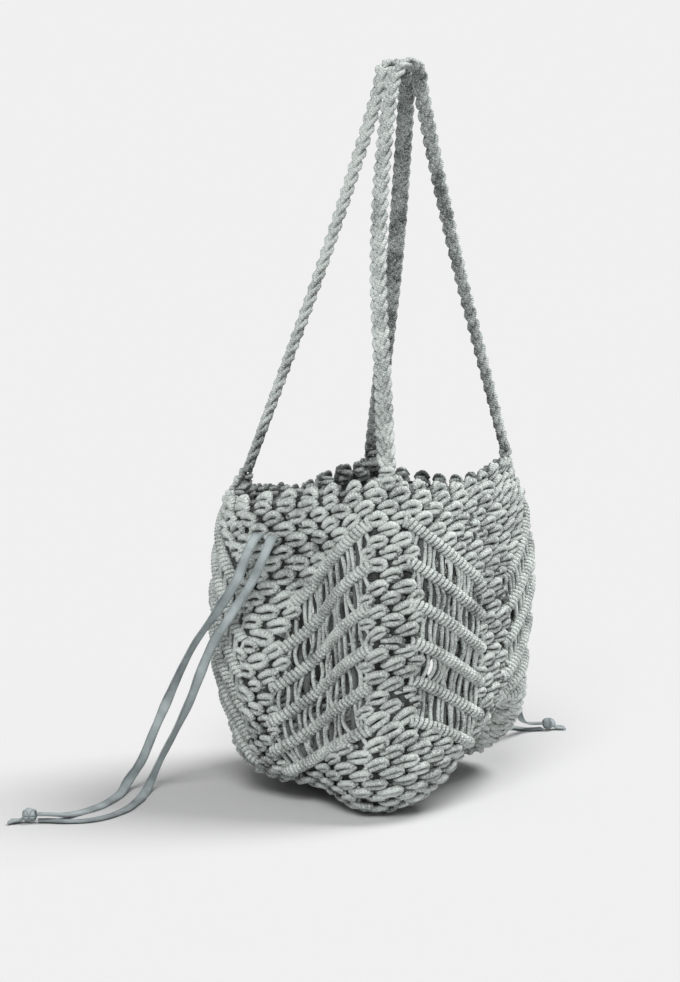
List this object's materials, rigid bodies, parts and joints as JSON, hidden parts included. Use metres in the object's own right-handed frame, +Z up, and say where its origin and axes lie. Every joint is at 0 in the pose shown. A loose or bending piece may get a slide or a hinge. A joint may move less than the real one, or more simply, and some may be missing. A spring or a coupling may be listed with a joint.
{
  "type": "macrame shoulder tote bag with two plaited straps",
  "caption": "Knotted cotton tote bag with open ladders, slanted bars, a scalloped rim, two plaited straps held up and a tape tie at each end.",
  "frame": {"origin": "underside of the straps' top bend, where whatever holds the bag passes under them", "axes": "+Z up, the front of the bag faces -Y, its long tie ends lie towards -X and +X"},
  "size_m": [0.5899, 0.2567, 0.595],
  "materials": {
    "cotton_cord": "matte",
    "cotton_tape": "matte"
  },
  "bodies": {
    "root": {"bag_body": "cotton_cord", "strap_front": "cotton_cord", "strap_back": "cotton_cord", "tie_left_outer": "cotton_tape", "tie_left_inner": "cotton_tape", "tie_left_knot": "cotton_tape", "tie_right_outer": "cotton_tape", "tie_right_inner": "cotton_tape", "tie_right_knot": "cotton_tape"}
  },
  "joints": []
}
